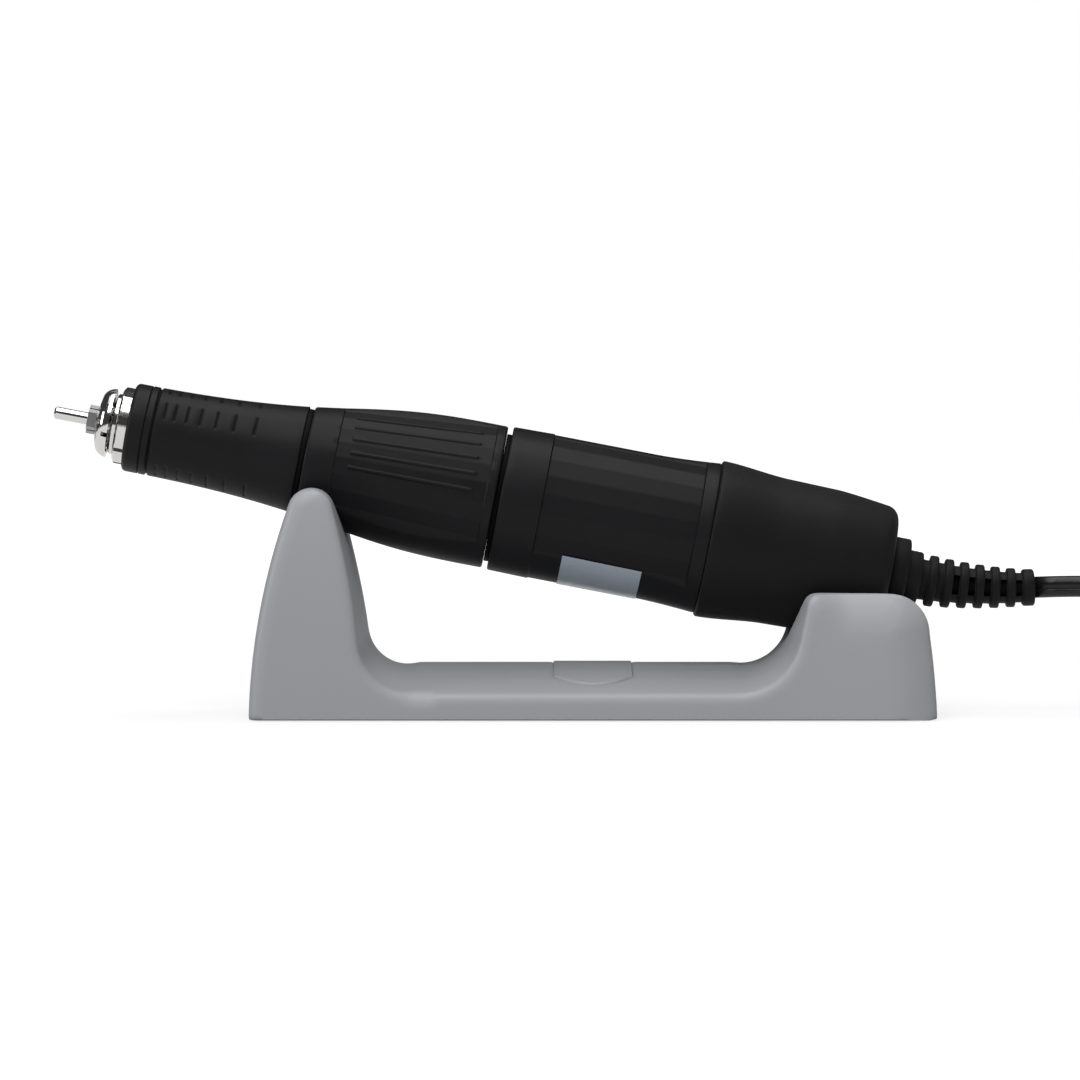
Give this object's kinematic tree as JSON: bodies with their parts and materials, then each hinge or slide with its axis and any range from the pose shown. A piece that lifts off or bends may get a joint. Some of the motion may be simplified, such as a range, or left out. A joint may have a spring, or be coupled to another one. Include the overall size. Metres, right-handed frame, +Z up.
{
  "type": "nail drill machine",
  "caption": "Micro-motor nail drill handpiece with a twist-lock collet chuck and a coiled cord, lying on a grey desk cradle with a fork in front and a rest behind.",
  "frame": {"origin": "centre of the cradle's underside, on the surface it stands on", "axes": "+X from the tool's tip towards the cord, +Y away from the near side, +Z up"},
  "size_m": [0.3376, 0.0599, 0.0633],
  "materials": {
    "grey_plastic": "fine satin grey plastic",
    "base_black": "matt black plastic",
    "pad_rubber": "matt rubber",
    "black_metal": "satin black anodised look",
    "black_rubber": "matt black rubber",
    "cord_black": "satin black sheath",
    "tie_black": "matt black strap",
    "plug_black": "matt black plastic",
    "label_grey": "plain grey-blue film",
    "bright_steel": "polished steel",
    "steel": "machined steel",
    "aluminium": "machined aluminium",
    "inner_plastic": "moulded dark plastic",
    "magnet": "dark sintered magnet",
    "copper": "copper and brass",
    "carbon": "matt carbon",
    "lead_red": "plain insulated wire"
  },
  "bodies": {
    "cradle": {"cradle_shell": "grey_plastic", "cradle_base_plate": "base_black", "cradle_base_pad": "pad_rubber", "cradle_screws": "steel", "cord_coil": "cord_black", "coil_tie": "tie_black", "plug_lead": "cord_black", "plug_relief": "cord_black", "plug_body": "plug_black", "plug_shell": "bright_steel", "plug_insert": "plug_black", "plug_pins": "copper"},
    "handpiece": {"front_nut": "bright_steel", "nose_bush": "bright_steel", "grip_sleeve": "black_metal", "front_housing": "black_metal", "bearing_spacer": "steel", "spindle_bearing_outer_rings": "steel", "detent_ball": "steel", "detent_spring": "steel", "motor_case": "black_metal", "motor_front_plate": "aluminium", "motor_bearing_outer_rings": "steel", "motor_yoke": "steel", "motor_magnets": "magnet", "rear_end_plate": "inner_plastic", "motor_screws": "steel", "brush_holders": "copper", "carbon_brushes": "carbon", "brush_springs": "steel", "brush_caps": "plug_black", "motor_leads": "lead_red", "blank_label": "label_grey", "rear_boot": "black_rubber", "strain_relief": "black_rubber", "cord_tail": "cord_black", "cord": "cord_black"},
    "chuck_ring": {"twist_ring": "black_metal", "cam_sleeve": "steel"},
    "pusher_body": {"pusher": "steel", "guide_pins": "steel"},
    "spindle_body": {"spindle": "steel", "dust_dome": "bright_steel", "draw_spring": "steel", "drive_coupling": "steel", "spindle_bearing_inner_rings": "steel", "spindle_bearing_balls": "steel", "motor_bearing_inner_rings": "steel", "motor_bearing_balls": "steel", "motor_shaft": "steel", "armature_core": "steel", "armature_windings": "copper", "commutator": "copper"},
    "chuck": {"collet": "bright_steel", "draw_rod": "steel", "cross_pin": "steel", "thrust_collar": "steel"},
    "tool": {"test_pin": "bright_steel"}
  },
  "joints": [
    {"name": "handpiece_lift", "type": "slide", "parent": "cradle", "child": "handpiece", "axis": [0, 0, 1], "range_m": [0, 0.045]},
    {"name": "ring_twist", "type": "hinge", "parent": "handpiece", "child": "chuck_ring", "pos_m": [-0.03465, 0, 0.04461], "axis": [0.9819, 0, -0.1894], "range_deg": [0, 60]},
    {"name": "spindle_spin", "type": "hinge", "parent": "handpiece", "child": "spindle_body", "pos_m": [-0.0641, 0, 0.05029], "axis": [0.9819, 0, -0.1894], "continuous": true},
    {"name": "pusher_slide", "type": "slide", "parent": "handpiece", "child": "pusher_body", "axis": [-0.9819, 0, 0.1894], "range_m": [0, 0.0015]},
    {"name": "collet_slide", "type": "slide", "parent": "spindle_body", "child": "chuck", "axis": [-0.9819, 0, 0.1894], "range_m": [0, 0.00122], "deforming": ["draw_spring"]},
    {"name": "bit_slide", "type": "slide", "parent": "chuck", "child": "tool", "axis": [-0.9819, 0, 0.1894], "range_m": [0, 0.025]}
  ],
  "couplings": [
    {"joint": "pusher_slide", "follows": "ring_twist", "m_per_rad": 0.001432},
    {"joint": "collet_slide", "follows": "ring_twist", "m_per_rad": 0.00116}
  ]
}
